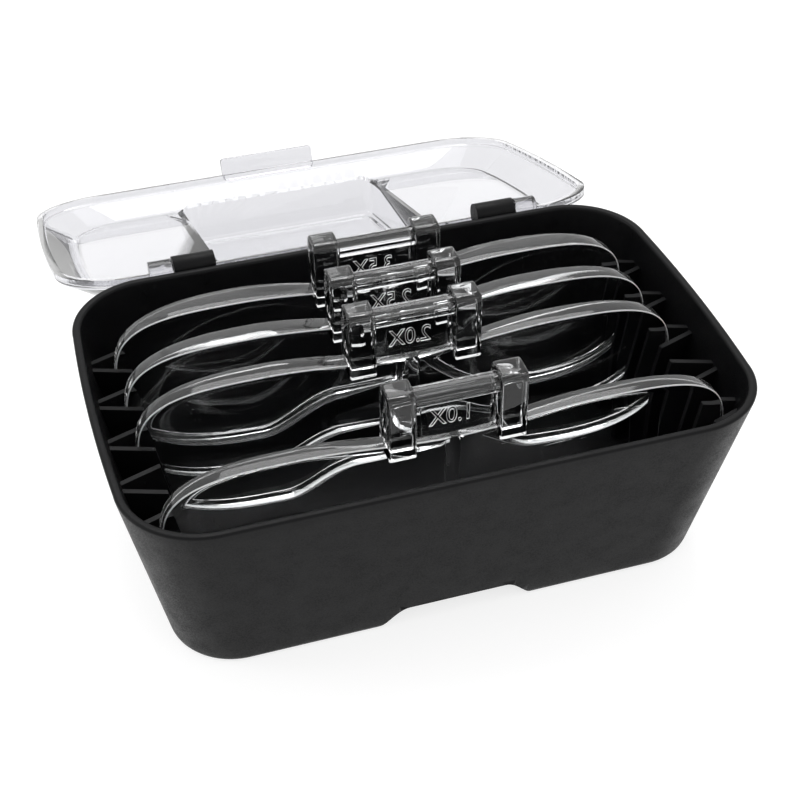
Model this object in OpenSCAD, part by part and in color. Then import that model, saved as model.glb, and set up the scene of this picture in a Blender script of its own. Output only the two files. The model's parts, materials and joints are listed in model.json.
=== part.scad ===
// Boxed set of trial lens plates: a drafted case with V-shaped slots, a hinged clear lid and
// four clear lens plates, each with a moulded clip. The origin is the centre of the case's
// underside, +Z is up and the front is at -Y. The lid is drawn open, resting on its raised top.

/* [Case] */
// Length of the rim, left to right
case_len = 120; // [100:1:150]
// Depth of the rim, front to back
case_dep = 77; // [64:1:100]
// Height of the rim above the underside
case_h = 40; // [33:1:56]
// Length lost by the draft, from rim to underside
draft_len = 14.5; // [6:0.5:20]
// Depth lost by the draft, from rim to underside
draft_dep = 15.5; // [6:0.5:18]
// Corner radius of the rim
rim_r = 15.5; // [10:0.5:18]
// Corner radius lost by the draft, from rim to underside
draft_r = 3.2; // [0:0.1:6]
// Bulge of the two ends
end_bow = 2; // [0.5:0.5:3]
// Thickness of the walls
wall = 1.6; // [1.2:0.1:2.2]
// Thickness of the floor
floor_t = 2; // [1.4:0.1:3]

/* [Base notches] */
// Width of the arched notch in the foot of the front and back walls
notch_w = 33; // [20:1:40]
// Width of the notch's flat roof
notch_roof_w = 19; // [8:1:24]
// Height of the notch
notch_h = 5; // [3:0.5:7]
// How far the notch reaches in from the wall's foot
notch_d = 7; // [4:0.5:10]

/* [Slots] */
// Number of slots
slot_n = 5; // [5:1:5]
// Room between the front of the rim and the front slot
slot_front = 11.5; // [11:0.5:14]
// Room between the back slot and the back of the rim
slot_back = 18; // [12:0.5:20]
// Thickness of the slot fins
fin_t = 1; // [0.8:0.1:1.2]
// How far the fins reach inward from the root of the V
fin_len = 8; // [6:0.5:9]
// Width of the V at its root
fin_root = 0.6; // [0.4:0.1:1]
// Drop of the fins' tops below the rim
fin_drop = 6; // [4:0.5:9]
// Clearance on each face of a lens plate in its slot
fin_clear = 0.3; // [0.2:0.05:0.5]
// How much wider the V's half angle is than the strongest lens's slope at its end
vee_spare = 1.5; // [1:0.1:4]

/* [Lens plates] */
// Room between a lens plate's end and the end of the rim
end_room = 7.5; // [6:0.5:10]
// Height of a lens plate
plate_h = 30; // [25:0.5:36]
// Thickness of a lens plate at its ends
plate_t = 2.8; // [2.2:0.1:3.2]
// Height of the plates' tops above the rim
plate_rise = 3.6; // [1:0.1:4]
// Dip of the top edge at the middle
top_dip = 1.9; // [0.5:0.1:3]
// Width of the flat nose cut
nose_w = 24; // [16:1:30]
// Height of the nose cut
nose_h = 4.6; // [3:0.2:7]
// How far each optical centre sits outside the middle of its half of the plate
lens_out = 1.8; // [0:0.2:4]
// Width of the flat strip between the two lenses
strip_w = 2.6; // [2:0.2:4]
// Back face radius of the 1.0X lenses
lens_r_10 = 240; // [200:5:400]
// Back face radius of the 2.0X lenses
lens_r_20 = 130; // [110:5:180]
// Back face radius of the 2.5X lenses
lens_r_25 = 105; // [90:5:150]
// Back face radius of the 3.5X lenses
lens_r_35 = 80; // [75:5:120]

/* [Clips] */
// Width of a clip over its two ears
clip_w = 25.2; // [20:0.2:30]
// Height of the ears above the plate's top edge
clip_h = 10.3; // [8:0.1:12]
// Width of one ear
ear_w = 5; // [3.5:0.1:6]
// Depth of the ears, front to back
ear_d = 6; // [5:0.1:6.5]
// Radius of the ears' top edges
ear_r = 1.8; // [1:0.1:2.4]
// Overlap of the ears over the plate's edge
ear_lap = 1.6; // [1:0.1:3]
// Diameter of the clip's bar
bar_d = 3.8; // [3:0.1:5]
// Thickness of the panel under the bar
panel_t = 1.3; // [1:0.1:1.8]

/* [Lid] */
// Thickness of the lid's walls
lid_t = 1.4; // [1:0.1:2]
// Height of the upright lip around the lid
lip_h = 1.6; // [1.2:0.1:2.4]
// Clearance over the lens plates' tops inside the lid
dome_clear = 2; // [1:0.1:3]
// Inset of the side panels from the lip
dome_in = 7; // [5:0.5:8]
// Room beside the clips in the foot of the raised middle, wall included
hump_side = 13.4; // [9:0.2:16]
// Slope inset of the raised middle's side walls
hump_in = 1.5; // [1:0.5:4]
// Clearance over the clips inside the raised middle
hump_clear = 0.6; // [0.5:0.1:3]
// Width of the latch tab
tab_w = 23.5; // [18:0.5:30]
// Drop of the latch tab below the rim
tab_drop = 3.6; // [2.5:0.1:5]
// Gap between the closed lid and the rim
lid_gap = 0.2; // [0.1:0.05:0.3]
// Gap between the latch tab and the case's front wall
tab_gap = 0.35; // [0.2:0.05:0.6]

/* [Hinge] */
// Distance of each barrel's outer end from the end of the rim
hinge_in = 23.5; // [20:0.5:30]
// Length of a barrel
barrel_len = 8.5; // [7:0.5:10]
// Radius of a barrel
barrel_r = 2.5; // [2.2:0.1:2.8]
// Drop of the hinge axis below the rim
axis_drop = 1; // [0.8:0.1:1.4]
// Radius of a trunnion pin
pin_r = 1.2; // [1:0.1:1.4]
// Radial clearance of a pin in its bore
pin_clear = 0.06; // [0.03:0.01:0.1]
// Length of a pin inside its barrel
pin_len = 4.6; // [3:0.2:6]
// Width of a lid knuckle
knuckle_w = 4.6; // [3.6:0.2:6]
// Side gap between a knuckle and its barrel
knuckle_gap = 0.3; // [0.2:0.05:0.5]
// Gap between a knuckle and the case's back wall
knuckle_back = 0.3; // [0.2:0.05:0.5]

/* [Hidden] */

half_len = case_len / 2;
half_dep = case_dep / 2;
draft_x = draft_len / 2 / case_h;      // inward slope of the end walls
draft_y = draft_dep / 2 / case_h;      // inward slope of the long walls
draft_c = draft_r / case_h;            // loss of corner radius with depth
skin = 0.01;                           // thickness of a slice that only carries an outline
over = 1;                              // how far a cutter passes the face that it cuts
arc_n = 8;                             // steps in a quarter round of an outline

peak_z = case_h + plate_rise;          // height of the seated plates' tops
plate_w = case_len - 2 * end_room;
lobe_x = plate_w / 4 + lens_out;       // optical centre of a lens
lobe_top_n = 2.8;                      // squareness of a lens's upper outer corner
lobe_low_n = 2.4;                      // squareness of its lower outer corner
ramp_w = 14;                           // width of the curve beside the nose cut
end_z = peak_z - plate_h / 2;          // height of the plates' widest line
clip_top = peak_z + clip_h;

lens_end_r = plate_w / 2 - lobe_x;     // radius of a lens, from its optical centre to its end
lens_r_least = min(lens_r_10, lens_r_20, lens_r_25, lens_r_35);
vee = asin(lens_end_r / lens_r_least) + vee_spare;   // half angle of a slot
root_x = plate_w / 2 + (plate_t / 2 + fin_clear - fin_root / 2) / tan(vee);
fin_reach = 20;                        // fin length before it is trimmed by the wall
fin_tilt = atan(draft_x * sin(vee));   // lean that keeps a fin's root on the drafted line

axis_y = half_dep + barrel_r;
axis_z = case_h - axis_drop;
bore_r = pin_r + pin_clear;
bore_len = pin_len + knuckle_gap;      // the bore is deeper than the pin by the side gap
barrel_end = half_len - hinge_in;
barrel_x = barrel_end - barrel_len;
knuckle_r = axis_y - half_dep - knuckle_back;

web_reach = 0.6 * knuckle_r;           // reach of a knuckle's web past the hinge axis

slot_pitch = (case_dep - slot_front - slot_back) / (slot_n - 1);
row_front = slot_front - half_dep;
row_back = half_dep - slot_back;
clip_room = ear_d / 2 + hump_clear + hump_in + lid_t;

dome_h = plate_rise + dome_clear + lid_t;
hump_w = clip_w / 2 + hump_side;       // half width of the raised middle at its foot
hump_top = plate_rise + clip_h + hump_clear + lid_t;
hump_r = 4;                            // corner radius of the raised middle
hump_front = row_front - clip_room;
hump_back = row_back + clip_room;

// The open lid rests on the front top edge of its raised middle. That edge is the point
// (rest_v, rest_h) seen from the hinge axis, and it turns down until it is rest_gap high.
rest_gap = 0.1;
rest_v = axis_y - (hump_front + hump_in);
rest_h = hump_top + axis_drop;
lid_fall = asin((axis_z - rest_gap) / norm([rest_v, rest_h])) - atan2(rest_h, rest_v);
lid_open = 180 + lid_fall;

case_tone = "#1b1b1d";
lens_tone = [0.86, 0.91, 0.94, 0.45];
lid_tone = [0.90, 0.93, 0.96, 0.35];

function slot_y(i) = row_front + i * slot_pitch;

// Outline of the case at one level: straight long sides, bowed ends and round corners.
function quarter(hx, hy, r, bow) =
    let (foot = hy - r, nip = hx - bow * pow(foot / hy, 2) - r)
    concat([for (k = [0:arc_n - 1]) let (y = foot * k / arc_n) [hx - bow * pow(y / hy, 2), y]],
           [for (k = [0:arc_n]) let (a = 90 * k / arc_n) [nip + r * cos(a), foot + r * sin(a)]]);
function flip(pts, sx, sy) = [for (p = pts) [p[0] * sx, p[1] * sy]];
function back_to_front(pts) = [for (k = [len(pts) - 1:-1:0]) pts[k]];
function tail(pts) = [for (k = [1:len(pts) - 1]) pts[k]];
function ring(hx, hy, r, bow) =
    let (q = quarter(hx, hy, r, bow))
    concat(q, back_to_front(tail(flip(q, -1, 1))), flip(q, -1, -1),
           back_to_front(tail(flip(q, 1, -1))));

module slice(z, inset) {
    drop = case_h - z;
    hx = half_len - draft_x * drop - inset;
    hy = half_dep - draft_y * drop - inset;
    translate([0, 0, z - skin / 2])
        linear_extrude(skin)
            polygon(ring(hx, hy, max(rim_r - draft_c * drop - inset, wall), end_bow));
}

module case_block(low, high, inset) {
    hull() {
        slice(low, inset);
        slice(high, inset);
    }
}

// Arched notch, as a bar that runs along Y.
module notch_bar(grow) {
    half = notch_w / 2;
    roof = notch_roof_w / 2;
    ramp = half - roof;
    steps = 8;
    arch = [for (k = [0:steps])
            [-half - grow + ramp * k / steps, (notch_h + grow) * (1 - cos(180 * k / steps)) / 2]];
    rotate([90, 0, 0])
        linear_extrude(case_dep, center = true)
            polygon(concat([[-half - grow, -over]], arch, back_to_front(flip(arch, -1, 1)),
                           [[half + grow, -over]]));
}

module notch_place(grow) {
    foot_y = half_dep - draft_dep / 2 - notch_d - grow;
    for (side = [-1, 1])
        intersection() {
            notch_bar(grow);
            translate([-notch_w, side > 0 ? foot_y : -foot_y - case_dep, -2 * over])
                cube([2 * notch_w, case_dep, case_h]);
        }
}

module case_shell() {
    color(case_tone)
        difference() {
            case_block(skin / 2, case_h - skin / 2, 0);
            difference() {
                case_block(floor_t, case_h + over, wall);
                notch_place(wall);
            }
            notch_place(0);
        }
}

// One fin of a slot, from its place at the root of the V. side is +1 at the right end.
module fin(side, lean) {
    rotate([0, 0, -side * lean * vee])
        rotate([-lean * fin_tilt, 0, 0])
            translate([-fin_reach / 2, lean > 0 ? 0 : -fin_t, -case_h])
                cube([fin_reach, fin_t, 2 * case_h]);
}

module slot_fins(side) {
    tip_top = root_x - fin_len + draft_x * (case_h - end_z);
    tip_low = tip_top - draft_x * case_h;
    color(case_tone)
        difference() {
            intersection() {
                case_block(floor_t, case_h + over, wall);
                translate([side > 0 ? 0 : -case_len, -case_dep, 0])
                    cube([case_len, 2 * case_dep, case_h - fin_drop]);
                union()
                    for (i = [0:slot_n - 1], lean = [-1, 1])
                        translate([side * root_x, slot_y(i) + lean * fin_root / 2, end_z])
                            fin(side, lean);
            }
            rotate([90, 0, 0])
                linear_extrude(2 * case_dep, center = true)
                    polygon([[-tip_low, 0], [tip_low, 0], [tip_top, case_h], [-tip_top, case_h]]);
            notch_place(wall);
        }
}

module slot_fins_left() slot_fins(-1);
module slot_fins_right() slot_fins(1);

module barrel_body() {
    rotate([0, 90, 0]) cylinder(r = barrel_r, h = barrel_len, $fn = 64);
    translate([0, -barrel_r - wall, -barrel_r]) cube([barrel_len, barrel_r + wall, barrel_r]);
}

module hinge_barrel(side) {
    color(case_tone)
        difference() {
            translate([side > 0 ? barrel_x : -barrel_end, axis_y, axis_z]) barrel_body();
            translate([side * (barrel_end - bore_len), axis_y, axis_z])
                rotate([0, side * 90, 0])
                    cylinder(r = bore_r, h = bore_len + over, $fn = 64);
            case_block(skin / 2, case_h - skin / 2, 0);
        }
}

module hinge_barrel_left() hinge_barrel(-1);
module hinge_barrel_right() hinge_barrel(1);

// The lid's pieces are written closed, with z measured from the rim, then swung open.
module open_lid() {
    translate([0, axis_y, axis_z])
        rotate([-lid_open, 0, 0])
            translate([0, -axis_y, axis_drop])
                children();
}

module lid_slice(z, inset, r, thick) {
    translate([0, 0, z])
        linear_extrude(thick)
            polygon(ring(half_len - inset, half_dep - inset, r, end_bow));
}

// The lip and the side panels, filled, from low up to top.
module lid_dome(inset, low, top) {
    lip_top = lid_gap + lip_h;
    r = rim_r - inset;
    lid_slice(low, inset, r, lip_top - low);
    hull() {
        lid_slice(lip_top - skin, inset, r, skin);
        lid_slice(top - skin, inset + dome_in, r - dome_in / 2, skin);
    }
}

module hump_slice(z, inset, slope) {
    hx = hump_w - inset - slope;
    front = hump_front + inset + slope;
    depth = hump_back - hump_front - 2 * (inset + slope);
    r = hump_r - inset;
    translate([0, 0, z])
        linear_extrude(skin)
            for (x = [-1, 1], y = [0, 1])
                translate([x * (hx - r), front + r + y * (depth - 2 * r)])
                    circle(r, $fn = 32);
}

module lid_hump(inset, low, top) {
    hull() {
        hump_slice(low, inset, 0);
        hump_slice(top - skin, inset, hump_in);
    }
}

module lid_cover() {
    inner_low = lid_gap - over;
    color(lid_tone)
        open_lid()
            difference() {
                union() {
                    lid_dome(0, lid_gap, dome_h);
                    lid_hump(0, lid_gap + lip_h, hump_top);
                }
                lid_dome(lid_t, inner_low, dome_h - lid_t);
                lid_hump(lid_t, lid_gap + lip_h - lid_t, hump_top - lid_t);
            }
}

module lid_latch_tab() {
    tab_y = half_dep + tab_gap;
    color(lid_tone)
        open_lid()
            difference() {
                translate([-tab_w / 2, -tab_y - lid_t, -tab_drop])
                    cube([tab_w, tab_gap + lid_t, tab_drop + lid_gap + lip_h]);
                translate([-tab_w, -tab_y, -tab_drop - over])
                    cube([2 * tab_w, 2 * tab_gap, tab_drop + lid_gap + over]);
            }
}

module lid_knuckle(side) {
    start = barrel_end + knuckle_gap;
    color(lid_tone)
        open_lid()
            mirror([side > 0 ? 0 : 1, 0, 0])
                translate([start, axis_y, -axis_drop]) {
                    rotate([0, 90, 0]) cylinder(r = knuckle_r, h = knuckle_w, $fn = 64);
                    translate([-knuckle_gap - pin_len, 0, 0])
                        rotate([0, 90, 0])
                            cylinder(r = pin_r, h = pin_len + knuckle_gap + over, $fn = 48);
                    translate([0, -barrel_r, axis_drop + lid_gap])
                        cube([knuckle_w, barrel_r, lip_h]);
                    translate([0, -knuckle_r / 2, 0])
                        cube([knuckle_w, knuckle_r / 2 + web_reach, axis_drop + lid_gap]);
                }
}

module lid_knuckle_left() lid_knuckle(-1);
module lid_knuckle_right() lid_knuckle(1);

// Right half of a lens plate's outline, in x and z, from the middle of the top edge round to the
// middle of the nose cut. The top rises from a dip, the end is a superellipse, and an S curve
// leads up to the nose cut.
function corner(a, n, hx, hz) =
    [lobe_x + hx * pow(abs(cos(a)), 2 / n), -hz + hz * sign(sin(a)) * pow(abs(sin(a)), 2 / n)];
function half_outline() =
    let (hx = lens_end_r, hz = plate_h / 2, nose = nose_w / 2, n = 14)
    concat([for (k = [0:n - 1]) let (t = k / n) [lobe_x * t, -top_dip * (1 + cos(180 * t)) / 2]],
           [for (k = [0:n]) corner(90 - 90 * k / n, lobe_top_n, hx, hz)],
           [for (k = [1:n]) corner(-90 * k / n, lobe_low_n, hx, hz)],
           [for (k = [0:n]) let (t = k / n)
                [nose + ramp_w * (1 - t), -plate_h + nose_h * (1 - cos(180 * t)) / 2]],
           [[0, nose_h - plate_h]]);

// A slab with the plate's right-hand outline, from y = 0 back to y = depth.
module lens_slab(depth) {
    translate([0, depth, peak_z])
        rotate([90, 0, 0])
            linear_extrude(depth)
                polygon(half_outline());
}

// One lens, with y measured from the middle of its slot: a flat front face and a spherical
// back face centred on the optical centre.
module lens_solid(side, face_r) {
    sag = face_r - sqrt(pow(face_r, 2) - pow(lens_end_r, 2));
    translate([0, -plate_t / 2, 0])
        mirror([side > 0 ? 0 : 1, 0, 0])
            intersection() {
                lens_slab(plate_t + sag + over);
                translate([strip_w / 2, -over, 0])
                    cube([plate_w, plate_t + sag + 3 * over, 2 * case_h]);
                translate([lobe_x, plate_t + sag - face_r, end_z])
                    sphere(face_r, $fn = 240);
            }
}

module lens(i, side, face_r) {
    color(lens_tone)
        translate([0, slot_y(i), 0])
            lens_solid(side, face_r);
}

module ear(x) {
    low = peak_z - top_dip - ear_lap;
    high = clip_top - ear_r;
    translate([x, 0, 0])
        rotate([90, 0, 90])
            linear_extrude(ear_w) {
                translate([-ear_d / 2, low]) square([ear_d, high - low]);
                translate([-ear_d / 2 + ear_r, high]) square([ear_d - 2 * ear_r, ear_r]);
                for (y = [-1, 1])
                    translate([y * (ear_d / 2 - ear_r), high]) circle(ear_r, $fn = 48);
            }
}

// A clip, with the flat strip between the two lenses that it stands on.
module clip(i, face_r) {
    half = clip_w / 2;
    bar_z = clip_top - ear_r / 2 - bar_d / 2;
    low = peak_z - top_dip - ear_lap;
    color(lens_tone)
        translate([0, slot_y(i), 0]) {
            difference() {
                union() {
                    ear(-half);
                    ear(half - ear_w);
                    translate([-half + ear_w, plate_t / 2 - panel_t, low])
                        cube([clip_w - 2 * ear_w, panel_t, bar_z - low]);
                    translate([-half + ear_w / 2, 0, bar_z])
                        rotate([0, 90, 0])
                            cylinder(d = bar_d, h = clip_w - ear_w, $fn = 64);
                }
                for (side = [-1, 1])
                    lens_solid(side, face_r);
                translate([-clip_w, plate_t / 2 - skin, low - over])
                    cube([2 * clip_w, ear_d, ear_lap + over]);
            }
            intersection() {
                for (side = [0, 1])
                    mirror([side, 0, 0])
                        translate([0, -plate_t / 2, 0]) lens_slab(plate_t);
                translate([-strip_w / 2, -ear_d, 0]) cube([strip_w, 2 * ear_d, 2 * case_h]);
            }
        }
}

module lens_1_0x_left() lens(0, -1, lens_r_10);
module lens_1_0x_right() lens(0, 1, lens_r_10);
module clip_1_0x() clip(0, lens_r_10);
module lens_2_0x_left() lens(2, -1, lens_r_20);
module lens_2_0x_right() lens(2, 1, lens_r_20);
module clip_2_0x() clip(2, lens_r_20);
module lens_2_5x_left() lens(3, -1, lens_r_25);
module lens_2_5x_right() lens(3, 1, lens_r_25);
module clip_2_5x() clip(3, lens_r_25);
module lens_3_5x_left() lens(4, -1, lens_r_35);
module lens_3_5x_right() lens(4, 1, lens_r_35);
module clip_3_5x() clip(4, lens_r_35);

case_shell();
slot_fins_left();
slot_fins_right();
hinge_barrel_left();
hinge_barrel_right();
lid_cover();
lid_latch_tab();
lid_knuckle_left();
lid_knuckle_right();
lens_1_0x_left();
lens_1_0x_right();
clip_1_0x();
lens_2_0x_left();
lens_2_0x_right();
clip_2_0x();
lens_2_5x_left();
lens_2_5x_right();
clip_2_5x();
lens_3_5x_left();
lens_3_5x_right();
clip_3_5x();
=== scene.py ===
"""Boxed set of trial lens plates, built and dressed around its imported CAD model.

The case is black satin plastic with V-shaped slots. Its clear lid lies open behind it, and four
clear lens plates stand in the slots, each with a moulded clip that carries its magnification.
Sizes are in millimetres and meshes are made in metres, in the CAD model's own frame.
"""

import json
import logging
import math
from dataclasses import dataclass, field
from enum import Enum, IntEnum

import bmesh
import bpy
from mathutils import Matrix, Vector


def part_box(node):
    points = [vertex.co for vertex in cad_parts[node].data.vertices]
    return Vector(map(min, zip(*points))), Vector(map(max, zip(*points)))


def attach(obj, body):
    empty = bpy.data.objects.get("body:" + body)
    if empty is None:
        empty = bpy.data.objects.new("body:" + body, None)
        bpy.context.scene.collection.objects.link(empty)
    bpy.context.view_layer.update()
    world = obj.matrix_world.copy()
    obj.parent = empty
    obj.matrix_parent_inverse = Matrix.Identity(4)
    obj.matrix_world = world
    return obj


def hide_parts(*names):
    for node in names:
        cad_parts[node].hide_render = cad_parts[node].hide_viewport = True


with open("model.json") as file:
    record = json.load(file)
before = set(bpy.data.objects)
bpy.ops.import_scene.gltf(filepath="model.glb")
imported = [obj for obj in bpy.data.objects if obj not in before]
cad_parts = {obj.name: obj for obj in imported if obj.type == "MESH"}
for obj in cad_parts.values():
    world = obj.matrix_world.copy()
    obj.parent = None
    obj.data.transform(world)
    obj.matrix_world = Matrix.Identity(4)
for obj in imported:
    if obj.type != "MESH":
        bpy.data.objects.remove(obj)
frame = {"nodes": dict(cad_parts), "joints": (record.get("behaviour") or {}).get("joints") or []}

MM = 0.001
WELD_GAP = 0.002
ROUND_STEPS = 3
LID_STEPS = 48
PLATES = (("1_0x", "1.0X", 240.0), ("2_0x", "2.0X", 130.0),
          ("2_5x", "2.5X", 105.0), ("3_5x", "3.5X", 80.0))
ALONG_X = Matrix(((0, 0, 1, 0), (1, 0, 0, 0), (0, 1, 0, 0), (0, 0, 0, 1)))
log = logging.getLogger("trial_lens_set")

Flat = tuple[float, float]
Ring = list[tuple[float, float, float]]
Shader = bpy.types.ShaderNode
Socket = bpy.types.NodeSocket


class Slot(Enum):
    """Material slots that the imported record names."""

    CASE = "case_black"
    LENS = "lens_acrylic"
    LID = "lid_clear"


class Surface(Enum):
    """Which finish of a clear plate a face takes."""

    POLISHED = 0
    EDGE = 1
    FROST = 2


class Side(IntEnum):
    """The left and the right of the object, as signs along X."""

    LEFT = -1
    RIGHT = 1


class End(IntEnum):
    """The front and the back of the object, as signs along Y."""

    FRONT = -1
    BACK = 1


class Join(Enum):
    """How one solid is joined with another."""

    ADD = "UNION"
    CUT = "DIFFERENCE"
    KEEP = "INTERSECT"


# --- Finishes ---------------------------------------------------------------------------------


class NodeSheet:
    """A material's node tree, with short calls for the nodes that the finishes share."""

    def __init__(self, name: str) -> None:
        """Starts an empty tree.

        Args:
            name: The material's name.
        """
        self.material = bpy.data.materials.new(name)
        self.material.use_nodes = True
        self.tree = self.material.node_tree
        self.tree.nodes.clear()
        self.output = self.add("ShaderNodeOutputMaterial")
        self.place = self.add("ShaderNodeTexCoord").outputs["Object"]

    def add(self, kind: str, **inputs: object) -> Shader:
        """Adds one node.

        Args:
            kind: The node's type name.
            **inputs: Values or sockets for its inputs, with spaces written as underscores.

        Returns:
            The node.
        """
        node = self.tree.nodes.new(kind)
        for name, value in inputs.items():
            self.feed(node.inputs[name.replace("_", " ")], value)
        return node

    def feed(self, target: Socket, value: object) -> None:
        """Links a socket to an input, or sets the input's own value.

        Args:
            target: The input.
            value: A socket to link, or a plain value.
        """
        if isinstance(value, bpy.types.NodeSocket):
            self.tree.links.new(value, target)
        else:
            target.default_value = value

    def noise(self, scale: float, detail: float = 3.0, stretch: Flat | None = None) -> Socket:
        """Noise over the object's own coordinates.

        Args:
            scale: Cells per metre.
            detail: Number of octaves.
            stretch: Scale along X and along Z, for brushed or dragged marks.

        Returns:
            The factor socket.
        """
        place = self.place
        if stretch is not None:
            mapping = self.add("ShaderNodeMapping", Vector=place)
            mapping.inputs["Scale"].default_value = (stretch[0], 1.0, stretch[1])
            place = mapping.outputs["Vector"]
        return self.add("ShaderNodeTexNoise", Vector=place, Scale=scale, Detail=detail).outputs[0]

    def ramp(self, factor: Socket, low: Flat, high: Flat) -> Socket:
        """Maps a factor from one range to another.

        Args:
            factor: The socket to map.
            low: Where the range starts, and the value there.
            high: Where the range ends, and the value there.

        Returns:
            The mapped socket.
        """
        node = self.add("ShaderNodeMapRange", Value=factor)
        node.inputs["From Min"].default_value = low[0]
        node.inputs["From Max"].default_value = high[0]
        node.inputs["To Min"].default_value = low[1]
        node.inputs["To Max"].default_value = high[1]
        return node.outputs["Result"]

    def blend(self, factor: Socket, a: tuple[float, ...], b: tuple[float, ...]) -> Socket:
        """Mixes two colours by a factor.

        Args:
            factor: The share of the second colour.
            a: The first colour.
            b: The second colour.

        Returns:
            The mixed colour's socket.
        """
        node = self.tree.nodes.new("ShaderNodeMix")
        node.data_type = "RGBA"
        self.feed(node.inputs[0], factor)
        node.inputs[6].default_value = (*a, 1.0)
        node.inputs[7].default_value = (*b, 1.0)
        return node.outputs[2]

    def bump(self, height: Socket, depth: float, strength: float = 1.0,
             under: Socket | None = None) -> Socket:
        """A bumped normal.

        Args:
            height: The height, from 0 to 1.
            depth: What a height of 1 means, in millimetres.
            strength: Share of the effect.
            under: Another bump that this one lies on.

        Returns:
            The normal socket.
        """
        node = self.add("ShaderNodeBump", Height=height, Distance=depth * MM, Strength=strength)
        if under is not None:
            self.feed(node.inputs["Normal"], under)
        return node.outputs["Normal"]

    def principled(self, **inputs: object) -> Shader:
        """Adds the main shader, with the same arguments as add."""
        return self.add("ShaderNodeBsdfPrincipled", **inputs)

    def close(self, shader: Socket) -> bpy.types.Material:
        """Ends the tree with a shader and returns its material."""
        self.tree.links.new(shader, self.output.inputs["Surface"])
        return self.material


@dataclass(frozen=True)
class SatinPlastic:
    """Black moulded plastic with a fine spark texture, scuffed a little where hands rub it."""

    name: str = "case_satin_black"
    tone: tuple[float, float, float] = (0.0030, 0.0030, 0.0034)
    worn_tone: tuple[float, float, float] = (0.0065, 0.0065, 0.007)
    cloud: float = 28.0
    scuffs: float = 240.0
    grain: float = 3200.0
    grain_depth: float = 0.018
    pits_to_grain: float = 0.9
    sparkle: float = 0.09
    worn_edge: Flat = (0.50, 0.60)
    roughness: Flat = (0.36, 0.48)
    gloss: float = 0.12
    ior: float = 1.49

    def build(self) -> bpy.types.Material:
        """Makes the material.

        Returns:
            The material, worn where the mesh has an outer edge.
        """
        sheet = NodeSheet(self.name)
        cloud = sheet.noise(self.cloud, 4.0)
        scuff = sheet.noise(self.scuffs, 4.0)
        fine = sheet.noise(self.grain, 2.0)
        pits = sheet.add("ShaderNodeTexVoronoi", Vector=sheet.place,
                         Scale=self.grain * self.pits_to_grain)
        edges = sheet.ramp(sheet.add("ShaderNodeNewGeometry").outputs["Pointiness"],
                           (self.worn_edge[0], 0.0), (self.worn_edge[1], 1.0))
        wear = sheet.add("ShaderNodeMath", Value=edges)
        wear.operation = "MULTIPLY"
        sheet.feed(wear.inputs[1], sheet.ramp(cloud, (0.35, 0.2), (0.65, 1.0)))
        colour = sheet.blend(wear.outputs[0], self.tone, self.worn_tone)
        sparkle = sheet.add("ShaderNodeMath", Value=sheet.ramp(fine, (0.35, -self.sparkle),
                                                               (0.65, self.sparkle)))
        sheet.feed(sparkle.inputs[1],
                   sheet.ramp(scuff, (0.35, self.roughness[0]), (0.70, self.roughness[1])))
        rough = sparkle.outputs[0]
        relief = sheet.bump(fine, self.grain_depth, 0.5)
        relief = sheet.bump(pits.outputs["Distance"], self.grain_depth / 2, 0.3, relief)
        body = sheet.principled(Base_Color=colour, Roughness=rough, Normal=relief)
        body.inputs["IOR"].default_value = self.ior
        body.inputs["Specular IOR Level"].default_value = self.gloss
        return sheet.close(body.outputs[0])


@dataclass(frozen=True)
class ClearPlastic:
    """Clear polished plastic, with faint smudges and hairline scratches."""

    name: str
    tint: tuple[float, float, float] = (0.985, 0.992, 0.995)
    ior: float = 1.49
    smudges: float = 95.0
    clean: float = 0.0
    smudged: float = 0.035
    hairs: float = 700.0
    cross_hairs: float = 620.0
    scratch_depth: float = 0.004
    lamp_tint: tuple[float, float, float] = (0.97, 0.97, 0.97)

    def build(self) -> bpy.types.Material:
        """Makes the material. Lamps shine through it, so what is behind it stays lit.

        Returns:
            The material.
        """
        sheet = NodeSheet(self.name)
        smudge = sheet.noise(self.smudges, 5.0)
        hair = sheet.noise(self.hairs, 2.0, (0.07, 1.0))
        cross = sheet.noise(self.cross_hairs, 2.0, (1.0, 0.09))
        rough = sheet.ramp(smudge, (0.52, self.clean), (0.78, self.smudged))
        relief = sheet.bump(sheet.ramp(hair, (0.66, 0.0), (0.70, 1.0)), self.scratch_depth, 0.5)
        relief = sheet.bump(sheet.ramp(cross, (0.68, 0.0), (0.72, 1.0)), self.scratch_depth,
                            0.4, relief)
        glass = sheet.principled(Roughness=rough, Normal=relief)
        glass.inputs["Base Color"].default_value = (*self.tint, 1.0)
        glass.inputs["IOR"].default_value = self.ior
        glass.inputs["Transmission Weight"].default_value = 1.0
        lamp = sheet.add("ShaderNodeLightPath").outputs["Is Shadow Ray"]
        through = sheet.add("ShaderNodeBsdfTransparent", Color=(*self.lamp_tint, 1.0))
        mix = sheet.add("ShaderNodeMixShader")
        sheet.feed(mix.inputs[0], lamp)
        sheet.feed(mix.inputs[1], glass.outputs[0])
        sheet.feed(mix.inputs[2], through.outputs[0])
        return sheet.close(mix.outputs[0])


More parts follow.
